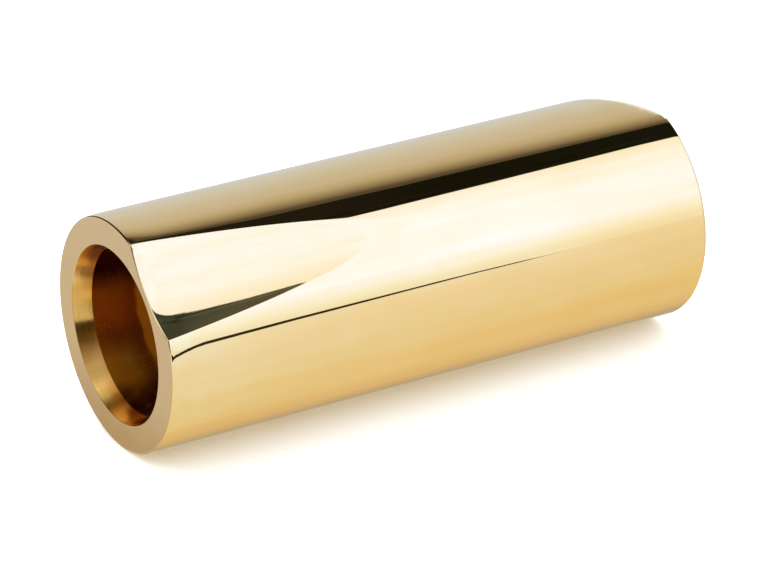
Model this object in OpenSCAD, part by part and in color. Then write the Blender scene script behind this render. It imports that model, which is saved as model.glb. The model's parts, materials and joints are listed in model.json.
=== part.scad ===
// Guitar slide: a thick-walled brass tube that is worn on one finger and run along the strings.
// The slide lies on its side. +X runs along the bore from the finger end to the string end,
// +Z is up and -Y is the front. The origin is under the middle of the tube, on the surface
// that the tube lies on. The whole slide is turned from one bar, so it is a single piece.

/* [Tube] */
// Overall length
tube_length = 65.3; // [58:0.1:72]
// Outside diameter, from one-inch bar
outer_d = 25.4; // [25:0.1:28]
// Diameter of the straight bore that the finger fits
bore_d = 18; // [16:0.1:18.6]

/* [Finger end] */
// Diameter of the flared mouth, at the finger end's face
mouth_d = 19.2; // [18.8:0.1:19.6]
// Depth of the cone that joins the mouth to the bore
mouth_depth = 2; // [0.8:0.1:4]

/* [Relief cut] */
// Turn of the cut's centre line from straight up, towards the front
cut_turn = 45; // [0:1:90]
// Depth of the cut at the finger end's face
cut_depth = 2.35; // [0.8:0.05:2.4]
// Length of the cut, from the finger end's face to where its floor reaches the outside
cut_length = 26.7; // [16:0.1:40]
// Radius of the cut's hollow, which the neighbouring finger rests in
cut_r = 14; // [12:0.5:30]

/* [Edges] */
// Bevel on the outer edge of each end
outer_bevel = 0.3; // [0.1:0.05:0.8]
// Bevel on the bore's edge at the string end
bore_bevel = 0.5; // [0.2:0.1:1]

/* [Hidden] */

outer_r = outer_d / 2;
bore_r = bore_d / 2;
mouth_r = mouth_d / 2;

// The cut's floor is a straight line in the plane through the bore's axis. It climbs from
// floor_r at the finger end's face to the tube's outside at cut_length.
floor_r = outer_r - cut_depth;
cut_incline = atan(cut_depth / cut_length);

// How far the cutter runs out past each end of the cut
run_out = 6;
cutter_length = cut_length / cos(cut_incline) + 2 * run_out;

brass = [0.86, 0.68, 0.36];
round_fn = 128;

// Half of the tube's section, as [radius, distance from the finger end's face]
wall_section = [
    [mouth_r, 0],
    [outer_r - outer_bevel, 0],
    [outer_r, outer_bevel],
    [outer_r, tube_length - outer_bevel],
    [outer_r - outer_bevel, tube_length],
    [bore_r + bore_bevel, tube_length],
    [bore_r, tube_length - bore_bevel],
    [bore_r, mouth_depth]
];

// Moves a shape made along the bore's axis, from the finger end's face, to its place
module along_bore() {
    translate([-tube_length / 2, 0, outer_r]) rotate([0, 90, 0]) children();
}

// Plain turned tube with its flared mouth and bevelled edges
module turned_tube() {
    along_bore() rotate_extrude($fn = round_fn) polygon(wall_section);
}

// Round cutter that hollows the outside of the wall beside the finger end
module relief_cutter() {
    translate([-tube_length / 2, 0, outer_r])
        rotate([cut_turn, 0, 0])
            translate([0, 0, floor_r])
                rotate([0, -cut_incline, 0])
                    translate([-run_out, 0, cut_r])
                        rotate([0, 90, 0])
                            cylinder(r = cut_r, h = cutter_length, $fn = round_fn);
}

module slide_body() {
    color(brass) difference() {
        turned_tube();
        relief_cutter();
    }
}

slide_body();
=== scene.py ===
import json
import math
from collections import namedtuple

import bpy
import numpy as np
from mathutils import Matrix, Vector


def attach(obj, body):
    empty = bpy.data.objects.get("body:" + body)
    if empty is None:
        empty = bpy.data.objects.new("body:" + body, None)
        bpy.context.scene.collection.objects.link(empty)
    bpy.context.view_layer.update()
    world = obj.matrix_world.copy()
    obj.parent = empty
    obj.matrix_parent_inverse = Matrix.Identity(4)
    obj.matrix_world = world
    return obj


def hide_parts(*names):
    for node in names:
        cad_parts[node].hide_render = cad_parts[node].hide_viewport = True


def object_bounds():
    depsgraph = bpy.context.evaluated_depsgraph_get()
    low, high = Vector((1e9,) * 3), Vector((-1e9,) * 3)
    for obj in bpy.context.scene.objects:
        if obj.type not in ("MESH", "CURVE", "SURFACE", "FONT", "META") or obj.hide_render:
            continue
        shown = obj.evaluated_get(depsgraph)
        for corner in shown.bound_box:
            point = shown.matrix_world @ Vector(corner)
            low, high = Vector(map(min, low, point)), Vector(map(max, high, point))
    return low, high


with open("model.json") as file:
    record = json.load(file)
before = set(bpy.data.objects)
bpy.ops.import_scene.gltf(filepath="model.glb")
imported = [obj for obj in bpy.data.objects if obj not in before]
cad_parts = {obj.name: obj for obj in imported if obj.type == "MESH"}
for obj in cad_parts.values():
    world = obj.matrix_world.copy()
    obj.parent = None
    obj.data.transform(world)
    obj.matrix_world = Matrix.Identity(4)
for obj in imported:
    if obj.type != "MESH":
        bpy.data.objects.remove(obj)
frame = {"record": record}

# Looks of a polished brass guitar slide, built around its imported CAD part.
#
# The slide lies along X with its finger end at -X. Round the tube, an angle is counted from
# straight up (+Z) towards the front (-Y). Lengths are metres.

cad_low, cad_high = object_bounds()

MM = 0.001

# Shape that the record doesn't state
MOUTH_RADIUS = 9.6 * MM
MOUTH_DEPTH = 2.0 * MM
CUT_TURN = math.radians(45.45)
CUT_DEPTH = 2.33 * MM
CUT_LENGTH = 26.7 * MM
CUT_RADIUS = 14.0 * MM

# Edges as hand buffing leaves them
OUTER_EDGE_RADIUS = 0.17 * MM
MOUTH_EDGE_RADIUS = 0.08 * MM
THROAT_EDGE_RADIUS = 0.05 * MM
FAR_BORE_EDGE_RADIUS = 0.5 * MM
CREASE_SOFTNESS = (0.07 * MM, 0.24 * MM)
SHOULDER = (0.035 * MM, 1.3 * MM)
SHOULDER_LENGTH = 20 * MM
NEAR_ROLL_OFF = (0.11 * MM, 4.5 * MM)
FAR_ROLL_OFF = (0.0085 * MM, 0.8 * MM)

# Mesh columns round the slide. Past the cut's tip, they open out again over a length.
WALL_COLUMNS = 300
CUT_COLUMNS = 48
CREASE_COLUMNS = 6
LEAST_CREASE_ANGLE = math.radians(0.4)
CREASE_SHARE = 0.4
TIP_ANGLE = math.radians(3)
OPEN_ANGLE = math.radians(24)
OPEN_LENGTH = 12 * MM

# Mesh rows: stations along each stretch, counting both of its ends
ARC_STEPS = 6
NEAR_RING_ROWS = 7
ROLL_OFF_ROWS = 13
CUT_ROWS = 41
BLEND_ROWS = 19
PLAIN_ROWS = 24
FAR_ROLL_OFF_ROWS = 8
FAR_RING_ROWS = 6
FAR_BORE_ROWS = 14
NEAR_BORE_ROWS = 22
CONE_ROWS = 8
BLEND_LENGTH = 3.0 * MM
ROW_GAP = 0.3 * MM
THROAT_GAP = 0.5 * MM

# Steps over which slopes are measured
SLOPE_STEP = 0.002 * MM
TURN_STEP = 1e-5

# Parts of the surface, in the order of their materials
ZONES = ("wall", "cut", "ring", "cone", "bore")
AHEAD = np.array([1.0, 0.0, 0.0])

# Camera
VIEW_AZIMUTH = math.radians(30.6)
VIEW_ELEVATION = math.radians(24.37)
VIEW_ROLL = math.radians(-0.63)
VIEW_DISTANCE = 0.41545
AIM_OFFSET = Vector((-0.87, -0.22, -1.4)) * MM
LENS_MM = 183.99
SENSOR_MM = 36.0

# Floor, and the plain light that falls on it
FLOOR_REACH = 3.0
PLAIN_STRENGTH = 2.1


# ---------------------------------------------------------------- geometry

def named_mount(record, name):
    return next(m for m in record["mounts"] if m["name"] == name)


class Slide:
    """Driving sizes of the slide, taken from the frame where it holds them."""

    def __init__(self, low, high, record):
        self.near = low.x
        self.length = high.x - low.x
        self.radius = (high.z - low.z) / 2
        self.centre = (low + high) / 2
        self.bore_radius = named_mount(record, "finger_bore")["dims"]["r_mm"] * MM
        self.floor = self.radius - CUT_DEPTH
        self.incline = math.atan2(CUT_DEPTH, CUT_LENGTH)


def smooth_excess(x, width):
    """max(x, 0), rounded off where x is within width of zero."""
    width = np.maximum(width, 1e-9)
    blend = np.maximum(width - np.abs(x), 0) / width
    return np.maximum(x, 0) + blend * blend * width / 4


def cutter_offset(slide, along):
    """Height of the cut's floor line over the cutter's axis, across the cutter, at a station."""
    return -along * math.sin(slide.incline) - slide.floor * math.cos(slide.incline) - CUT_RADIUS


def cutter_reach(slide, along, turn):
    """Distance from the bore's axis to the cut's surface, at an angle from the cut's centre."""
    lean = math.cos(slide.incline)
    offset = cutter_offset(slide, along)
    a = np.sin(turn) ** 2 + (np.cos(turn) * lean) ** 2
    b = 2 * np.cos(turn) * lean * offset
    c = offset ** 2 - CUT_RADIUS ** 2
    root = b * b - 4 * a * c
    reach = (-b - np.sqrt(np.maximum(root, 0))) / (2 * a)
    return np.where((root > 0) & (np.cos(turn) > 0), reach, slide.radius * 2)


def crease_angle(slide, along):
    """Angle from the cut's centre to its crease with the outside, 0 beyond the cut's tip."""
    if along >= CUT_LENGTH:
        return 0.0
    low, high = 0.0, math.pi / 3
    for _ in range(50):
        middle = (low + high) / 2
        if cutter_reach(slide, along, middle) < slide.radius:
            low = middle
        else:
            high = middle
    return low


def crease_bend(slide, along, turn):
    """Angle between the cut's surface and the outside at the crease."""
    lean = math.cos(slide.incline)
    side = slide.radius * math.sin(turn)
    depth = slide.radius * math.cos(turn) * lean + cutter_offset(slide, along)
    dot = (-side * math.sin(turn) - depth * lean * math.cos(turn)) / CUT_RADIUS
    return math.acos(max(-1.0, min(1.0, dot)))


def crease_softness(along):
    """Depth over which polishing has blended the cut into the outside."""
    near, tip = CREASE_SOFTNESS
    return near + (tip - near) * min(along / CUT_LENGTH, 1.0) ** 7


def shoulder_drop(slide, along, turn):
    """How far polishing has lowered the outside over the upper crease, less towards the tip."""
    depth, reach = SHOULDER
    above = np.where(turn > math.pi, 2 * math.pi - turn, -turn)
    beside = (above - crease_angle(slide, along)) * slide.radius
    share = np.clip(1 - beside / reach, 0, 1) * (above > 0)
    return depth * max(1 - along / SHOULDER_LENGTH, 0) * share ** 3


def cut_drop(slide, along, turn):
    """How far the cut lowers the outside, with its creases rounded."""
    shoulder = shoulder_drop(slide, along, turn)
    excess = slide.radius - shoulder - cutter_reach(slide, along, turn)
    return shoulder + smooth_excess(excess, crease_softness(along))


def roll_off(slide, along):
    """How far buffing has lowered the outside towards each end."""
    total = 0.0
    for (depth, reach), distance in (
        (NEAR_ROLL_OFF, along),
        (FAR_ROLL_OFF, slide.length - along),
    ):
        total += depth * max(1 - max(distance, 0) / reach, 0) ** 4
    return total


def guide_angle(slide, along):
    """Half angle of the cut's mesh columns: the crease, then opening out again past the tip."""
    past = min(max(along - CUT_LENGTH, 0) / OPEN_LENGTH, 1.0)
    least = TIP_ANGLE + (OPEN_ANGLE - TIP_ANGLE) * past * past * (3 - 2 * past)
    return least + float(smooth_excess(crease_angle(slide, along) - least, least))


def column_angles(slide, along):
    """Angles of the mesh columns from the cut's centre. The columns follow both creases."""
    crease = guide_angle(slide, along)
    bend = crease_bend(slide, min(along, CUT_LENGTH), crease_angle(slide, along))
    spread = crease_softness(along) / math.tan(bend) / slide.radius
    inner = min(spread, CREASE_SHARE * crease)
    outer = max(spread, LEAST_CREASE_ANGLE)
    step = np.arange(1, CREASE_COLUMNS + 1) / CREASE_COLUMNS
    cut = np.linspace(-crease + inner, crease - inner, CUT_COLUMNS + 1)
    wall = np.linspace(crease + outer, 2 * math.pi - crease - outer, WALL_COLUMNS + 1)
    return np.concatenate([
        cut,
        crease - inner + inner * step,
        crease + outer * step[:-1],
        wall,
        2 * math.pi - crease - outer + outer * step,
        2 * math.pi - crease + inner * step[:-1],
    ])


# One row of the mesh: its place and surface normal in the tube's section. carve is 1 where the
# cut lowers the row, 0 where it doesn't, and in between across the finger end's face.
Row = namedtuple("Row", "along out normal_along normal_out zone carve")


def arc(centre, radius, start, end, zone, carve=0.0):
    """Rows round an edge. Angles are degrees, from +X towards outwards, of the surface normal."""
    rows = []
    for i in range(ARC_STEPS + 1):
        a = math.radians(start + (end - start) * i / ARC_STEPS)
        along = centre[0] + radius * math.cos(a)
        out = centre[1] + radius * math.sin(a)
        rows.append(Row(along, out, math.cos(a), math.sin(a), zone, carve))
    return rows


def wall_stations(slide):
    """Distances along the outside: close together at both ends and at the cut's tip."""
    roll = NEAR_ROLL_OFF[1] * np.linspace(0, 1, ROLL_OFF_ROWS) ** 1.3
    share = np.linspace(0, 1, CUT_ROWS)
    cut = CUT_LENGTH * (1 - (1 - share) ** 2)
    cut = cut[cut > roll[-1] + ROW_GAP]
    tail = slide.length - FAR_ROLL_OFF[1] * np.linspace(1, 0, FAR_ROLL_OFF_ROWS) ** 1.3
    blend = CUT_LENGTH + BLEND_LENGTH * np.linspace(0, 1, BLEND_ROWS)[1:] ** 1.5
    plain = np.linspace(blend[-1], tail[0], PLAIN_ROWS)[1:-1]
    stations = np.concatenate([roll, cut, blend, plain, tail])
    margin = OUTER_EDGE_RADIUS * 1.2
    return stations[(stations > margin) & (stations < slide.length - margin)]


def finger_end_rows(slide):
    """Ring face round the mouth, then the outer edge."""
    inner = MOUTH_RADIUS + MOUTH_EDGE_RADIUS
    outer = slide.radius - OUTER_EDGE_RADIUS
    rows = []
    for share in np.linspace(0, 1, NEAR_RING_ROWS)[1:-1]:
        rows.append(Row(0.0, inner + share * (outer - inner), -1.0, 0.0, "ring", share))
    return rows + arc((OUTER_EDGE_RADIUS, outer), OUTER_EDGE_RADIUS, 180, 90, "wall", 1.0)


def string_end_rows(slide):
    """Outer edge, ring face, then the bore's edge."""
    lip = FAR_BORE_EDGE_RADIUS
    inner = slide.bore_radius + lip
    outer = slide.radius - OUTER_EDGE_RADIUS
    edge_centre = (slide.length - OUTER_EDGE_RADIUS, outer)
    rows = arc(edge_centre, OUTER_EDGE_RADIUS, 90, 0, "wall", 1.0)
    for share in np.linspace(1, 0, FAR_RING_ROWS)[1:-1]:
        rows.append(Row(slide.length, inner + share * (outer - inner), 1.0, 0.0, "ring", 0.0))
    return rows + arc((slide.length - lip, inner), lip, 0, -90, "bore")


def bore_rows(slide):
    """Bore, from the string end back to the throat. Rows get closer towards the throat."""
    far = slide.length - FAR_BORE_EDGE_RADIUS
    near = MOUTH_DEPTH + THROAT_GAP
    stations = list(np.linspace(far, CUT_LENGTH, FAR_BORE_ROWS)[1:])
    for share in np.linspace(1, 0, NEAR_BORE_ROWS)[1:-1]:
        stations.append(near + (CUT_LENGTH - near) * (1 - (1 - share) ** 2))
    return [Row(along, slide.bore_radius, 0.0, -1.0, "bore", 0.0) for along in stations]


def mouth_rows(slide):
    """Throat, where the bore meets the cone of the mouth, then the cone and its lip."""
    flare = MOUTH_RADIUS - slide.bore_radius
    cone = math.atan2(flare, MOUTH_DEPTH)
    throat = THROAT_EDGE_RADIUS
    throat_centre = (MOUTH_DEPTH + throat * math.tan(cone / 2), slide.bore_radius + throat)
    rows = arc(throat_centre, throat, -90, -90 - math.degrees(cone), "bore")
    for share in np.linspace(0, 1, CONE_ROWS)[1:-1]:
        along = MOUTH_DEPTH * (1 - share)
        out = slide.bore_radius + flare * share
        rows.append(Row(along, out, -math.sin(cone), -math.cos(cone), "cone", 0.0))
    lip = MOUTH_EDGE_RADIUS
    lip_centre = (lip, MOUTH_RADIUS + lip * math.tan((math.pi / 2 - cone) / 2))
    return rows + arc(lip_centre, lip, -90 - math.degrees(cone), -180, "cone")


def section_rows(slide):
    """Rows of the mesh, once round the tube's section."""
    wall = [Row(along, slide.radius, 0.0, 1.0, "wall", 1.0) for along in wall_stations(slide)]
    outside = finger_end_rows(slide) + wall + string_end_rows(slide)
    return outside + bore_rows(slide) + mouth_rows(slide)


def lowering(slide, along, turn):
    """How far the cut and the buffing lower the outside."""
    return cut_drop(slide, along, turn) + roll_off(slide, along)


def outside_slopes(slide, along, turn):
    """How fast the outside comes down along the slide, and rises round it for each radian."""
    ahead, behind = along + SLOPE_STEP, max(along - SLOPE_STEP, 0.0)
    fall = lowering(slide, ahead, turn) - lowering(slide, behind, turn)
    swing = cut_drop(slide, along, turn + TURN_STEP) - cut_drop(slide, along, turn - TURN_STEP)
    return fall / (ahead - behind), -swing / (2 * TURN_STEP)


def row_surface(slide, row):
    """Points of one row of the mesh, and the surface normal at each."""
    turn = column_angles(slide, row.along)
    reach = row.out - row.carve * cut_drop(slide, row.along, turn)
    slope, swing = 0.0 * turn, 0.0 * turn
    if row.carve == 1.0:
        reach = reach - roll_off(slide, row.along)
        slope, swing = outside_slopes(slide, row.along, turn)
    # The normal is square to the way along the section and to the way round the slide
    go_along = row.normal_out
    go_out = -row.normal_along - slope * go_along
    local = np.stack([-reach * go_out, reach * go_along, -swing * go_along], 1)
    local /= np.linalg.norm(local, axis=1)[:, None]
    angle = turn + CUT_TURN
    zero = 0.0 * turn
    up = np.stack([zero, -np.sin(angle), np.cos(angle)], 1)
    side = np.stack([zero, -np.cos(angle), -np.sin(angle)], 1)
    base = np.array([slide.near + row.along, slide.centre.y, slide.centre.z])
    points = base + reach[:, None] * up
    normals = local[:, :1] * AHEAD + local[:, 1:2] * up + local[:, 2:] * side
    return points, normals


def row_faces(rows, count):
    """Faces between neighbouring rows of count points, and the place of each in ZONES."""
    cut_end = CUT_COLUMNS + CREASE_COLUMNS
    cut_start = count - CREASE_COLUMNS
    faces, zones = [], []
    for i, row in enumerate(rows):
        following = (i + 1) % len(rows)
        here, there = i * count, following * count
        pair = {row.zone, rows[following].zone}
        zone = next(name for name in ("ring", "cone", "bore", "wall") if name in pair)
        hollow = zone == "wall" and row.along < CUT_LENGTH
        for j in range(count):
            k = (j + 1) % count
            faces.append([here + j, here + k, there + k, there + j])
            in_cut = hollow and (j < cut_end or j >= cut_start)
            zones.append(ZONES.index("cut" if in_cut else zone))
    return faces, zones


def slide_mesh(slide):
    """Watertight mesh of the slide, with the true surface normal at each vertex."""
    rows = section_rows(slide)
    points, normals = [], []
    for row in rows:
        row_points, row_normals = row_surface(slide, row)
        points.extend(row_points)
        normals.extend(row_normals)
    faces, zones = row_faces(rows, len(points) // len(rows))
    mesh = bpy.data.meshes.new("slide")
    mesh.from_pydata([tuple(p) for p in points], [], faces)
    mesh.polygons.foreach_set("material_index", zones)
    mesh.polygons.foreach_set("use_smooth", [True] * len(faces))
    mesh.update()
    mesh.normals_split_custom_set_from_vertices([tuple(n) for n in normals])
    return mesh


# ---------------------------------------------------------------- node helpers

def add(tree, kind, **settings):
    """New node with its settings."""
    node = tree.nodes.new(kind)
    for name, value in settings.items():
        setattr(node, name, value)
    return node


def feed(tree, socket, value):
    """Links a socket, or sets it where the value is a plain number or colour."""
    if isinstance(value, bpy.types.NodeSocket):
        tree.links.new(value, socket)
    else:
        socket.default_value = value


def calc(tree, operation, *values):
    """Result of one maths operation."""
    node = add(tree, "ShaderNodeMath", operation=operation)
    for socket, value in zip(node.inputs, values):
        feed(tree, socket, value)
    return node.outputs[0]


def product(tree, first, *others):
    """All the values multiplied together."""
    for other in others:
        first = calc(tree, "MULTIPLY", first, other)
    return first


def separated(tree, vector):
    """The vector's x, y and z."""
    node = add(tree, "ShaderNodeSeparateXYZ")
    feed(tree, node.inputs[0], vector)
    return node.outputs


def ramp(tree, value, start, end, low=0.0, high=1.0, smooth=True):
    """low where the value is at start, high where it's at end, and level beyond both."""
    kind = "SMOOTHSTEP" if smooth else "LINEAR"
    node = add(tree, "ShaderNodeMapRange", interpolation_type=kind)
    for socket, given in zip(node.inputs, (value, start, end, low, high)):
        feed(tree, socket, given)
    return node.outputs[0]


def between(tree, value, edges):
    """1 between the middle two of four edges, fading to 0 at the outer two."""
    start, full, fade, end = edges
    return calc(tree, "MULTIPLY", ramp(tree, value, start, full), ramp(tree, value, end, fade))


def profile(tree, value, stops):
    """Straight lines through stops of (value, result), level beyond the first and the last."""
    total = stops[0][1]
    for (before, low), (after, high) in zip(stops, stops[1:]):
        rise = ramp(tree, value, float(before), float(after), 0.0, high - low, smooth=False)
        total = calc(tree, "ADD", total, rise)
    return total


def mix(tree, share, first, second):
    """Colour that goes from the first to the second as the share goes from 0 to 1."""
    node = add(tree, "ShaderNodeMix", data_type="RGBA")
    feed(tree, node.inputs["Factor"], share)
    colours = [s for s in node.inputs if s.type == "RGBA"]
    feed(tree, colours[0], (*first, 1.0) if isinstance(first, tuple) else first)
    feed(tree, colours[1], (*second, 1.0) if isinstance(second, tuple) else second)
    return next(s for s in node.outputs if s.type == "RGBA")


def mix_value(tree, share, first, second):
    """Number that goes from the first to the second as the share goes from 0 to 1."""
    node = add(tree, "ShaderNodeMix", data_type="FLOAT")
    feed(tree, node.inputs[0], share)
    feed(tree, node.inputs[2], first)
    feed(tree, node.inputs[3], second)
    return node.outputs[0]


def blend_stops(tree, value, stops):
    """Colour along straight lines through stops of (value, colour)."""
    colour = stops[0][1]
    for (before, _), (after, tint) in zip(stops, stops[1:]):
        share = ramp(tree, value, float(before), float(after), smooth=False)
        colour = mix(tree, share, colour, tint)
    return colour


def scaled(tree, colour, share):
    """The colour with all of it multiplied by a share."""
    node = add(tree, "ShaderNodeVectorMath", operation="SCALE")
    feed(tree, node.inputs[0], colour)
    feed(tree, node.inputs["Scale"], share)
    return node.outputs[0]


def scaled_blue(tree, colour, share):
    """The colour with its blue multiplied by a share, and its green moved by 35% as much."""
    parts = add(tree, "ShaderNodeSeparateColor")
    feed(tree, parts.inputs[0], colour)
    green_share = calc(tree, "MULTIPLY_ADD", share, 0.35, 0.65)
    whole = add(tree, "ShaderNodeCombineColor")
    feed(tree, whole.inputs[0], parts.outputs[0])
    feed(tree, whole.inputs[1], calc(tree, "MULTIPLY", parts.outputs[1], green_share))
    feed(tree, whole.inputs[2], calc(tree, "MULTIPLY", parts.outputs[2], share))
    return whole.outputs[0]


def noise(tree, vector, scale, detail=3.0, roughness=0.5):
    """Noise from 0 to 1, with features about 1 / scale across."""
    node = add(tree, "ShaderNodeTexNoise")
    feed(tree, node.inputs["Vector"], vector)
    node.inputs["Scale"].default_value = scale
    node.inputs["Detail"].default_value = detail
    node.inputs["Roughness"].default_value = roughness
    return node.outputs["Fac"]


def stretched_noise(tree, vector, scale, detail=3.0, roughness=0.5):
    """Noise with a scale of its own along each axis."""
    node = add(tree, "ShaderNodeMapping")
    feed(tree, node.inputs["Vector"], vector)
    node.inputs["Scale"].default_value = scale
    return noise(tree, node.outputs["Vector"], 1.0, detail, roughness)


def bump(tree, height, distance, normal=None):
    """Surface normal over a height of 0 to 1, where 1 stands for the distance."""
    node = add(tree, "ShaderNodeBump")
    feed(tree, node.inputs["Height"], height)
    node.inputs["Distance"].default_value = distance
    node.inputs["Strength"].default_value = 1.0
    if normal is not None:
        feed(tree, node.inputs["Normal"], normal)
    return node.outputs["Normal"]


# ---------------------------------------------------------------- materials

def start_material(name, metallic=1.0):
    """New material with its tree, its shader and its object coordinates."""
    material = bpy.data.materials.new(name)
    material.use_nodes = True
    tree = material.node_tree
    tree.nodes.clear()
    shader = add(tree, "ShaderNodeBsdfPrincipled")
    shader.inputs["Metallic"].default_value = metallic
    output = add(tree, "ShaderNodeOutputMaterial")
    tree.links.new(shader.outputs["BSDF"], output.inputs["Surface"])
    where = add(tree, "ShaderNodeTexCoord").outputs["Object"]
    return material, tree, shader, where


def polished_brass():
    """Mirror polish: faint lengthwise buffing lines, slow waves and a slightly cloudy colour."""
    material, tree, shader, where = start_material("polished_brass")
    cloud = stretched_noise(tree, where, (130.0, 300.0, 300.0))
    tint = mix(tree, ramp(tree, cloud, 0.38, 0.62), (0.905, 0.68, 0.332), (0.89, 0.667, 0.312))
    feed(tree, shader.inputs["Base Color"], tint)
    lines = stretched_noise(tree, where, (150.0, 9000.0, 9000.0))
    feed(tree, shader.inputs["Roughness"], ramp(tree, lines, 0.3, 0.8, 0.012, 0.035))
    wave = stretched_noise(tree, where, (60.0, 160.0, 160.0), 1.0)
    broad = bump(tree, wave, 0.002 * MM)
    feed(tree, shader.inputs["Normal"], bump(tree, lines, 0.00015 * MM, normal=broad))
    return material


def cut_brass():
    """The cut, polished along its length, where the buffing lines still show."""
    material, tree, shader, where = start_material("cut_brass")
    streaks = stretched_noise(tree, where, (110.0, 3600.0, 3600.0))
    tint = mix(tree, ramp(tree, streaks, 0.35, 0.65), (0.91, 0.68, 0.335), (0.895, 0.665, 0.315))
    feed(tree, shader.inputs["Base Color"], tint)
    lines = stretched_noise(tree, where, (220.0, 4200.0, 4200.0), 4.0, 0.6)
    feed(tree, shader.inputs["Roughness"], ramp(tree, lines, 0.3, 0.8, 0.015, 0.05))
    feed(tree, shader.inputs["Normal"], bump(tree, lines, 0.0009 * MM))
    return material


def around_axis(tree, where, slide):
    """Distance from the bore's axis."""
    moved = add(tree, "ShaderNodeVectorMath", operation="SUBTRACT")
    feed(tree, moved.inputs[0], where)
    moved.inputs[1].default_value = slide.centre
    flat = add(tree, "ShaderNodeVectorMath", operation="MULTIPLY")
    feed(tree, flat.inputs[0], moved.outputs[0])
    flat.inputs[1].default_value = (0.0, 1.0, 1.0)
    length = add(tree, "ShaderNodeVectorMath", operation="LENGTH")
    feed(tree, length.inputs[0], flat.outputs[0])
    return length.outputs["Value"]


def along_only(tree, value, scale):
    """Noise that changes only with one number, for marks a turning tool leaves."""
    spot = add(tree, "ShaderNodeCombineXYZ")
    feed(tree, spot.inputs[0], value)
    return noise(tree, spot.outputs[0], scale, 3.0, 0.65)


def turned_brass(slide):
    """Flat ends: satin, with the fine circles of the turning tool. The colour is darker low down,
    a painted shade for the slide's shadow on the floor that the faces reflect, and a little
    lighter high up, a painted light.
    """
    material, tree, shader, where = start_material("turned_brass")
    _, _, z = separated(tree, where)
    patches = noise(tree, where, 420.0)
    # Painted shade and light: the base colour darkens towards the bottom and lightens a little
    # towards the top, in place of the reflected floor's shading
    height = calc(tree, "MULTIPLY_ADD", patches, 3.0 * MM, z)
    low = ramp(tree, height, 12.0 * MM, 1.0 * MM)
    high = ramp(tree, height, 16.0 * MM, 25.0 * MM)
    top = mix(tree, high, (0.89, 0.63, 0.31), (0.89, 0.65, 0.34))
    feed(tree, shader.inputs["Base Color"], mix(tree, low, top, (0.675, 0.415, 0.135)))
    marks = along_only(tree, around_axis(tree, where, slide), 9000.0)
    feed(tree, shader.inputs["Roughness"], ramp(tree, marks, 0.3, 0.7, 0.14, 0.24))
    feed(tree, shader.inputs["Normal"], bump(tree, marks, 0.0012 * MM))
    return material


def cone_brass():
    """Mouth: deeper yellow, with rings left by the turning tool and a little tarnish, and painted
    reflected light high up and low down at the front.
    """
    material, tree, shader, where = start_material("cone_brass")
    patches = stretched_noise(tree, where, (200.0, 500.0, 500.0), 4.0)
    x, y, z = separated(tree, where)
    deep = mix(tree, ramp(tree, patches, 0.35, 0.70), (0.71, 0.41, 0.100), (0.62, 0.34, 0.075))
    # Painted reflected light: a brighter colour high up, and low down at the front
    over = ramp(tree, z, 14.2 * MM, 16.0 * MM)
    under = product(tree, ramp(tree, z, 6.0 * MM, 4.5 * MM), ramp(tree, y, 2.6 * MM, 0.6 * MM))
    painted_light_share = calc(tree, "MAXIMUM", over, under)
    topmost = ramp(tree, z, 16.8 * MM, 19.5 * MM)
    painted_light_tint = mix(tree, topmost, (0.97, 0.65, 0.23), (0.80, 0.48, 0.12))
    feed(tree, shader.inputs["Base Color"], mix(tree, painted_light_share, deep, painted_light_tint))
    feed(tree, shader.inputs["Metallic"], ramp(tree, z, 14.4 * MM, 16.0 * MM, 1.0, 0.95))
    marks = along_only(tree, x, 7000.0)
    feed(tree, shader.inputs["Roughness"], ramp(tree, marks, 0.3, 0.7, 0.10, 0.18))
    feed(tree, shader.inputs["Normal"], bump(tree, marks, 0.0075 * MM))
    return material


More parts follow.
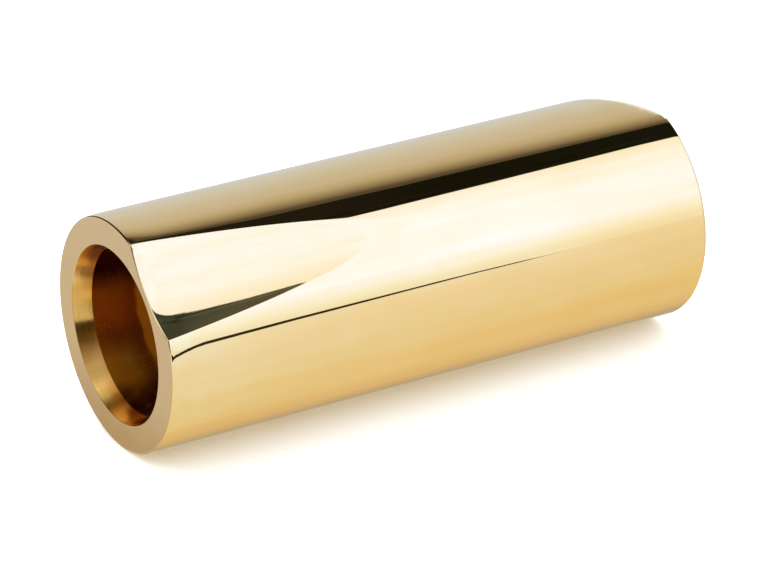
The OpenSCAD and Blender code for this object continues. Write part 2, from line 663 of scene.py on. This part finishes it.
def bore_brass(slide):
    """Bore: tarnished brown near the mouth; deeper in, a darker step and then a brighter amber,
    which are painted reflected light; and painted shade, almost black, high up and low down.
    """
    material, tree, shader, where = start_material("bore_brass")
    x, _, z = separated(tree, where)
    patches = noise(tree, where, 260.0)
    runs = stretched_noise(tree, where, (700.0, 700.0, 170.0))
    # Patches make the edges of each colour wander
    drift = calc(tree, "SUBTRACT", patches, 0.5)
    depth = calc(tree, "MULTIPLY_ADD", drift, 1.8 * MM, calc(tree, "SUBTRACT", x, slide.near))
    height = calc(tree, "MULTIPLY_ADD", drift, 0.8 * MM, z)
    brown = mix(tree, ramp(tree, patches, 0.40, 0.62), (0.72, 0.195, 0.011), (0.78, 0.23, 0.014))
    brown = mix(tree, ramp(tree, height, 8.5 * MM, 6.0 * MM), brown, (0.97, 0.36, 0.015))
    # Painted reflection: deeper in, the wall turns darker and then a brighter amber, in place of
    # the light the bore reflects there
    brown = mix(tree, ramp(tree, depth, 4.8 * MM, 6.8 * MM), brown, (0.62, 0.16, 0.010))
    amber_painted_light = ramp(tree, depth, 7.0 * MM, 7.6 * MM)
    tint = mix(tree, amber_painted_light, brown, (0.69, 0.210, 0.006))
    # Painted shade: almost black high up and low down, where the bore's reflections are dark
    high = ramp(tree, height, 13.2 * MM, 16.5 * MM)
    low = ramp(tree, height, 5.2 * MM, 3.7 * MM)
    dark = calc(tree, "MAXIMUM", high, low)
    tint = mix(tree, dark, tint, (0.065, 0.006, 0.004))
    below = ramp(tree, height, 8.5 * MM, 6.5 * MM)
    marked = product(tree, ramp(tree, runs, 0.50, 0.75, 0.0, 0.35), below)
    feed(tree, shader.inputs["Base Color"], mix(tree, marked, tint, (0.90, 0.46, 0.08)))
    # Tarnish and old lacquer scatter a share of the light, most of it where it's amber
    dull = mix_value(tree, amber_painted_light, ramp(tree, height, 8.5 * MM, 6.0 * MM, 0.08, 0.12), 0.42)
    dull = mix_value(tree, dark, dull, 0.05)
    feed(tree, shader.inputs["Metallic"], calc(tree, "SUBTRACT", 1.0, dull))
    feed(tree, shader.inputs["Roughness"], ramp(tree, patches, 0.3, 0.7, 0.26, 0.40))
    return material


def floor_material():
    """Matt off-white with a faint grain."""
    material, tree, shader, where = start_material("pale_floor", metallic=0.0)
    tint = mix(tree, noise(tree, where, 40.0), (0.925, 0.925, 0.925), (0.935, 0.935, 0.935))
    feed(tree, shader.inputs["Base Color"], tint)
    shader.inputs["Roughness"].default_value = 0.9
    shader.inputs["Specular IOR Level"].default_value = 0.0
    return material


# ---------------------------------------------------------------- studio

# Soft light round the slide, as (angle from straight up towards the front, colour)
BACK_LIGHT = [
    (-180, (0.86, 0.74, 0.50)),
    (-162, (0.77, 0.62, 0.40)),
    (-142, (0.52, 0.42, 0.28)),
    (-126, (0.60, 0.58, 0.57)),
    (-106, (0.72, 0.73, 0.76)),
    (-96, (0.68, 0.74, 0.88)),
    (-72, (0.69, 0.76, 0.90)),
    (-56, (0.67, 0.70, 0.80)),
    (-43, (0.65, 0.64, 0.70)),
    (-35, (0.56, 0.54, 0.49)),
    (-30, (0.43, 0.40, 0.355)),
    (-24, (0.25, 0.212, 0.19)),
    (-21.5, (0.135, 0.112, 0.095)),
    (-19.5, (0.095, 0.085, 0.070)),
    (-16, (0.100, 0.090, 0.080)),
]
FRONT_LIGHT = [
    (5, (1.10, 1.25, 1.75)),
    (20, (1.13, 1.38, 2.30)),
    (40, (1.15, 1.43, 2.60)),
    (54, (1.15, 1.40, 2.45)),
    (66, (1.15, 1.44, 2.65)),
    (70, (1.13, 1.37, 2.35)),
    (75, (1.11, 1.32, 2.10)),
    (79, (1.09, 1.28, 1.75)),
    (82, (1.06, 1.20, 1.56)),
    (86, (1.02, 1.15, 1.38)),
    (89.6, (1.02, 1.11, 1.30)),
    (90.4, (0.98, 1.02, 1.12)),
    (97, (0.97, 0.98, 1.03)),
    (116, (0.93, 0.90, 0.85)),
    (137, (0.91, 0.87, 0.75)),
    (157, (0.89, 0.80, 0.60)),
    (180, (0.86, 0.74, 0.50)),
]
# What is dark between the panels, as (lean, colour): a dim room, then a black flag
DARK = [
    (15.5, (0.052, 0.068, 0.062)),
    (16.6, (0.066, 0.084, 0.086)),
    (17.4, (0.098, 0.106, 0.098)),
    (19.0, (0.100, 0.090, 0.080)),
    (22.0, (0.024, 0.021, 0.018)),
    (27.0, (0.017, 0.014, 0.012)),
    (29.0, (0.009, 0.009, 0.006)),
    (32.0, (0.010, 0.012, 0.009)),
]
BLACK = (0.010, 0.009, 0.006)
FAR_ROOM = (0.15, 0.22, 0.40)
# Softer light beyond the finger end, as (angle round the slide, colour)
SIDE_LIGHT = [
    (-105, (0.10, 0.08, 0.08)),
    (-70, (0.60, 0.45, 0.30)),
    (-52, (0.66, 0.50, 0.34)),
    (-38, (0.42, 0.32, 0.22)),
    (-28, (0.10, 0.08, 0.06)),
    (-21, (0.25, 0.27, 0.30)),
    (-12, (0.85, 1.00, 1.30)),
    (3, (1.22, 1.32, 1.72)),
    (18, (0.80, 0.88, 1.14)),
    (33, (0.72, 0.75, 1.00)),
    (48, (0.54, 0.50, 0.66)),
    (63, (0.18, 0.15, 0.12)),
    (79, (0.08, 0.06, 0.02)),
    (88, (0.05, 0.04, 0.02)),
]
# How much blue the panel and the table keep towards the string end, as (lean, share)
PANEL_BLUE = [(18.0, 0.94), (24.0, 1.0), (29.5, 1.02), (30.1, 1.02), (30.7, 0.92)]
TABLE_BLUE = [(24.5, 1.17), (26.0, 1.06), (28.5, 0.96), (30.6, 0.93)]
WHITE_CARD = (1.30, 1.72, 3.45)
GAP = (0.03, 0.025, 0.015)
END_LIGHT = (0.62, 0.60, 0.57)
SIDE_WINDOW = (0.40, 0.33, 0.21)

# Where each light fades in, is whole, starts to fade and ends
ROOM_TURN = (-112.0, -102.0, 87.0, 90.0)
WINDOW_TURN = (66.0, 74.0, 92.0, 96.0)
WINDOW_LEAN = (-32.0, -28.0, -18.0, -15.0)
CARD_TURN = (-118.5, -117.5, -19.5, -18.5)

# Lean where the white card starts: at the top, its growth for each degree of turn, and what its
# front corner adds as (turn, lean). The card ends, and the plain light at both ends starts, at
# END_LEAN.
CARD_EDGE = 32.555
CARD_EDGE_TILT = 0.0145
CARD_CORNER = [(-26.5, 0.0), (-19.5, 0.75)]
CARD_BLUR = 0.03
CARD_FADE_LEAN = 38.0
END_LEAN = 42.0
END_WHOLE_LEAN = 60.0

# Where the panel behind ends, as (turn, lean)
BACK_PANEL_END = [(-60.0, 12.0), (-20.0, 20.0)]
# The front panel's end towards the finger end: bowed out at its middle, with a rounded corner
FRONT_PANEL_MIDDLE = 38.0
FRONT_PANEL_HALF = 52.0
FRONT_PANEL_END = 3.5
FRONT_PANEL_BOW = 13.0
PANEL_CORNER = 3.0
PANEL_BLUR = 0.35

# Edges in the studio, as (lean, turn), and the gap's half width as (lean, degrees)
FLAG_BACK_EDGE = [(25.2, -18.5), (26.4, -16.5), (27.4, -15.6), (28.2, -14.5), (32.3, -12.5)]
FLAG_FRONT_EDGE = [
    (0.0, 45.0),
    (5.8, 19.0),
    (7.6, 14.2),
    (10.4, 11.0),
    (13.7, 8.0),
    (15.7, 7.2),
    (16.4, 5.3),
    (17.2, 3.9),
    (18.1, 4.2),
    (20.0, 4.6),
    (24.0, 5.4),
    (27.9, 6.8),
    (29.8, 6.4),
    (31.8, 5.5),
    (32.4, 5.9),
]
TABLE_EDGE = [
    (4.0, 88.6),
    (9.0, 97.0),
    (15.0, 97.5),
    (17.1, 95.0),
    (20.7, 93.5),
    (23.4, 91.8),
    (24.5, 90.6),
    (24.9, 90.0),
    (26.2, 89.2),
    (29.0, 89.2),
    (31.5, 91.6),
]
GAP_WIDTH = [(25.2, 1.35), (26.4, 1.15), (28.0, 0.80), (29.5, 0.46), (30.6, -0.15)]


def back_light(tree, turn, lean, dark):
    """Panel behind the slide, which ends above the room, and the table that runs on below."""
    over = calc(tree, "SUBTRACT", lean, profile(tree, turn, BACK_PANEL_END))
    lit = calc(tree, "MAXIMUM", ramp(tree, over, -3.0, 1.0), ramp(tree, turn, -91.0, -94.0))
    past_flag = calc(tree, "SUBTRACT", turn, profile(tree, lean, FLAG_BACK_EDGE))
    lit = product(tree, lit, ramp(tree, past_flag, 0.25, -0.25))
    # Near the flag, the shading moves round the slide as the lean grows
    shift = calc(tree, "MULTIPLY", calc(tree, "SUBTRACT", lean, 25.5), 1.05)
    shift = product(tree, shift, ramp(tree, turn, -56.0, -30.0, smooth=False))
    light = blend_stops(tree, calc(tree, "SUBTRACT", turn, shift), BACK_LIGHT)
    under_flag = product(tree, ramp(tree, lean, 24.0, 20.0), ramp(tree, turn, -14.0, -18.0))
    return mix(tree, lit, mix(tree, under_flag, dark, BLACK), light)


def front_panel(tree, turn, lean):
    """1 on the front panel, which has one rounded corner, and 0 outside it."""
    off_middle = calc(tree, "SUBTRACT", turn, FRONT_PANEL_MIDDLE)
    bow = calc(tree, "POWER", calc(tree, "DIVIDE", off_middle, FRONT_PANEL_HALF), 2.0)
    end = calc(tree, "MULTIPLY_ADD", bow, FRONT_PANEL_BOW, FRONT_PANEL_END)
    end = calc(tree, "ADD", end, ramp(tree, turn, 80.0, 86.0, 0.0, -2.6))
    corner = calc(tree, "ADD", profile(tree, lean, FLAG_FRONT_EDGE), PANEL_CORNER)
    across = calc(tree, "MAXIMUM", calc(tree, "SUBTRACT", corner, turn), 0.0)
    along = calc(tree, "SUBTRACT", calc(tree, "ADD", end, PANEL_CORNER), lean)
    along = calc(tree, "MAXIMUM", along, 0.0)
    squares = calc(tree, "ADD", calc(tree, "POWER", across, 2.0), calc(tree, "POWER", along, 2.0))
    reach = calc(tree, "SQRT", squares)
    return ramp(tree, reach, PANEL_CORNER + PANEL_BLUR, PANEL_CORNER - PANEL_BLUR)


def front_blue(tree, turn, lean, direction):
    """Share of blue in the front light, which changes along the slide and is a little cloudy."""
    table = profile(tree, lean, TABLE_BLUE)
    brim = product(tree, ramp(tree, turn, 76.0, 82.0), ramp(tree, lean, 24.4, 22.4))
    panel = calc(tree, "MULTIPLY_ADD", brim, 0.25, profile(tree, lean, PANEL_BLUE))
    change = calc(tree, "SUBTRACT", table, panel)
    change = product(tree, change, ramp(tree, turn, 88.0, 92.0))
    clouds = stretched_noise(tree, direction, (14.0, 5.0, 5.0))
    clouds = ramp(tree, clouds, 0.35, 0.65, 0.96, 1.08)
    return product(tree, calc(tree, "ADD", panel, change), clouds)


def front_light(tree, direction, turn, lean, past_table_edge, dark):
    """Panel in front of the slide and the table under it. The dark room behind has slats."""
    table = ramp(tree, past_table_edge, -0.3, 0.3)
    lit = calc(tree, "MAXIMUM", front_panel(tree, turn, lean), table)
    blue = front_blue(tree, turn, lean, direction)
    light = scaled_blue(tree, blend_stops(tree, turn, FRONT_LIGHT), blue)
    light = mix(tree, ramp(tree, lean, 33.2, 35.5, 0.0, 0.45), light, FAR_ROOM)
    slats = stretched_noise(tree, direction, (2.0, 70.0, 70.0), 2.0)
    streaked = scaled(tree, dark, ramp(tree, slats, 0.35, 0.65, 0.55, 1.55))
    below_panel = ramp(tree, turn, 60.0, 75.0)
    return mix(tree, lit, mix(tree, below_panel, streaked, BLACK), light)


def side_light_share(tree, turn, lean):
    """1 beyond the finger end, apart from a dark stretch high up behind the slide."""
    share = product(tree, between(tree, turn, ROOM_TURN), ramp(tree, lean, 1.0, -3.0))
    unlit = product(tree, ramp(tree, turn, -25.0, -30.0), ramp(tree, lean, -7.0, -11.0))
    return product(tree, share, calc(tree, "SUBTRACT", 1.0, unlit))


def gap_share(tree, lean, past_table_edge):
    """1 in the gap between the front panel and the table, which closes towards the string end."""
    off = calc(tree, "ABSOLUTE", past_table_edge)
    off = calc(tree, "SUBTRACT", off, profile(tree, lean, GAP_WIDTH))
    return ramp(tree, off, 0.15, -0.15)


def card_share(tree, turn, lean):
    """1 on the white card beyond the string end, seen from above the middle."""
    edge = calc(tree, "MULTIPLY_ADD", turn, CARD_EDGE_TILT, CARD_EDGE)
    edge = calc(tree, "ADD", edge, profile(tree, turn, CARD_CORNER))
    card = ramp(tree, calc(tree, "SUBTRACT", lean, edge), -CARD_BLUR, CARD_BLUR)
    near = ramp(tree, lean, END_LEAN, CARD_FADE_LEAN)
    return product(tree, card, between(tree, turn, CARD_TURN), near)


def studio_light(tree, direction):
    """Colour of the studio seen along a direction.

    turn goes round the slide as above and lean goes from its middle towards its string end,
    both in degrees. Behind and in front are soft panels over a pale table, with a black flag
    between them. The finger end looks out into a dim room with a softer light and a window,
    and a white card hangs beyond the string end. Both ends fade to one plain light.
    """
    x, y, z = separated(tree, direction)
    turn = calc(tree, "DEGREES", calc(tree, "ARCTAN2", calc(tree, "MULTIPLY", y, -1.0), z))
    lean = calc(tree, "DEGREES", calc(tree, "ARCSINE", x))
    past_table_edge = calc(tree, "SUBTRACT", turn, profile(tree, lean, TABLE_EDGE))
    dark = blend_stops(tree, lean, DARK)
    back = back_light(tree, turn, lean, dark)
    front = front_light(tree, direction, turn, lean, past_table_edge, dark)
    window = product(tree, between(tree, lean, WINDOW_LEAN), between(tree, turn, WINDOW_TURN))
    end = ramp(tree, calc(tree, "ABSOLUTE", lean), END_LEAN, END_WHOLE_LEAN)
    colour = mix(tree, ramp(tree, turn, -1.0, 0.0), back, front)
    for share, light in (
        (side_light_share(tree, turn, lean), blend_stops(tree, turn, SIDE_LIGHT)),
        (window, SIDE_WINDOW),
        (gap_share(tree, lean, past_table_edge), GAP),
        (card_share(tree, turn, lean), WHITE_CARD),
        (end, END_LIGHT),
    ):
        colour = mix(tree, share, colour, light)
    return colour


def build_world():
    """Studio that shows in reflections, and a plain white light for everything else."""
    world = bpy.data.worlds.new("studio")
    bpy.context.scene.world = world
    world.use_nodes = True
    world.cycles.sampling_method = "NONE"
    tree = world.node_tree
    tree.nodes.clear()
    direction = add(tree, "ShaderNodeTexCoord").outputs["Generated"]
    path = add(tree, "ShaderNodeLightPath")
    glossy = add(tree, "ShaderNodeBackground")
    feed(tree, glossy.inputs["Color"], studio_light(tree, direction))
    plain = add(tree, "ShaderNodeBackground")
    plain.inputs["Color"].default_value = (1.0, 1.0, 1.0, 1.0)
    plain.inputs["Strength"].default_value = PLAIN_STRENGTH
    chosen = add(tree, "ShaderNodeMixShader")
    tree.links.new(path.outputs["Is Glossy Ray"], chosen.inputs[0])
    tree.links.new(plain.outputs[0], chosen.inputs[1])
    tree.links.new(glossy.outputs[0], chosen.inputs[2])
    output = add(tree, "ShaderNodeOutputWorld")
    tree.links.new(chosen.outputs[0], output.inputs["Surface"])


def build_floor():
    reach = FLOOR_REACH
    corners = [(-reach, -reach, 0), (reach, -reach, 0), (reach, reach, 0), (-reach, reach, 0)]
    mesh = bpy.data.meshes.new("floor")
    mesh.from_pydata(corners, [], [(0, 1, 2, 3)])
    mesh.materials.append(floor_material())
    floor = bpy.data.objects.new("floor", mesh)
    bpy.context.scene.collection.objects.link(floor)
    floor.visible_glossy = False


def build_camera(slide):
    """Camera with a long lens, in front of the slide and above it, on its finger end's side."""
    forward = Vector((
        math.sin(VIEW_AZIMUTH) * math.cos(VIEW_ELEVATION),
        math.cos(VIEW_AZIMUTH) * math.cos(VIEW_ELEVATION),
        -math.sin(VIEW_ELEVATION),
    ))
    level_right = Vector((math.cos(VIEW_AZIMUTH), -math.sin(VIEW_AZIMUTH), 0.0))
    level_up = level_right.cross(forward)
    right = level_right * math.cos(VIEW_ROLL) + level_up * math.sin(VIEW_ROLL)
    up = right.cross(forward)
    data = bpy.data.cameras.new("camera")
    data.lens = LENS_MM
    data.sensor_width = SENSOR_MM
    camera = bpy.data.objects.new("camera", data)
    turn = Matrix((right, up, -forward)).transposed().to_4x4()
    place = slide.centre + AIM_OFFSET - forward * VIEW_DISTANCE
    camera.matrix_world = Matrix.Translation(place) @ turn
    bpy.context.scene.collection.objects.link(camera)
    bpy.context.scene.camera = camera


def build_slide(slide):
    mesh = slide_mesh(slide)
    materials = (
        polished_brass(),
        cut_brass(),
        turned_brass(slide),
        cone_brass(),
        bore_brass(slide),
    )
    for material in materials:
        mesh.materials.append(material)
    piece = bpy.data.objects.new("slide", mesh)
    bpy.context.scene.collection.objects.link(piece)
    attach(piece, "root")
    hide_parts("slide_body")


slide = Slide(cad_low, cad_high, frame["record"])
build_camera(slide)
build_slide(slide)
build_floor()
build_world()
bpy.context.scene.view_settings.view_transform = "Standard"
bpy.context.scene.view_settings.look = "None"
